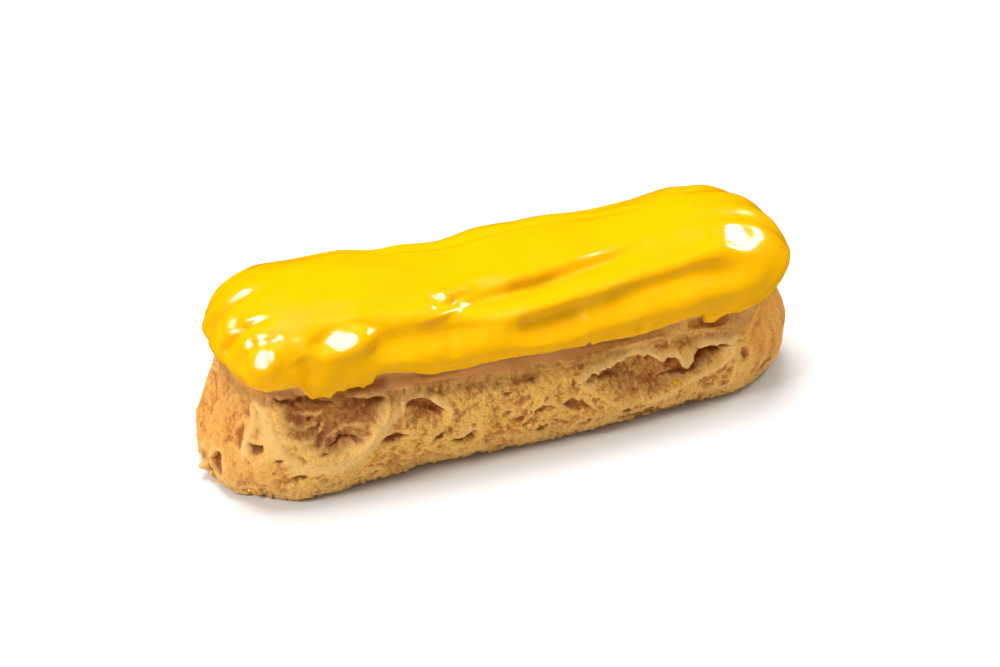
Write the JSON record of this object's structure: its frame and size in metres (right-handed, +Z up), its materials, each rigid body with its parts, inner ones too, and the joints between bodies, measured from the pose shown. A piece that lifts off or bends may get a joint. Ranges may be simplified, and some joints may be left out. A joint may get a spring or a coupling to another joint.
{
  "type": "eclair",
  "caption": "Long choux pastry bun with a crust of hollows and folds and a coat of glossy yellow icing poured over its top.",
  "frame": {"origin": "middle of the flat base that the eclair rests on", "axes": "+X along the length towards the blunter end, +Y towards the back, +Z up through the icing"},
  "size_m": [0.1368, 0.0463, 0.0402],
  "materials": {
    "choux": "matte",
    "icing": "gloss"
  },
  "bodies": {
    "root": {"choux_bun": "choux", "icing": "icing"}
  },
  "joints": []
}
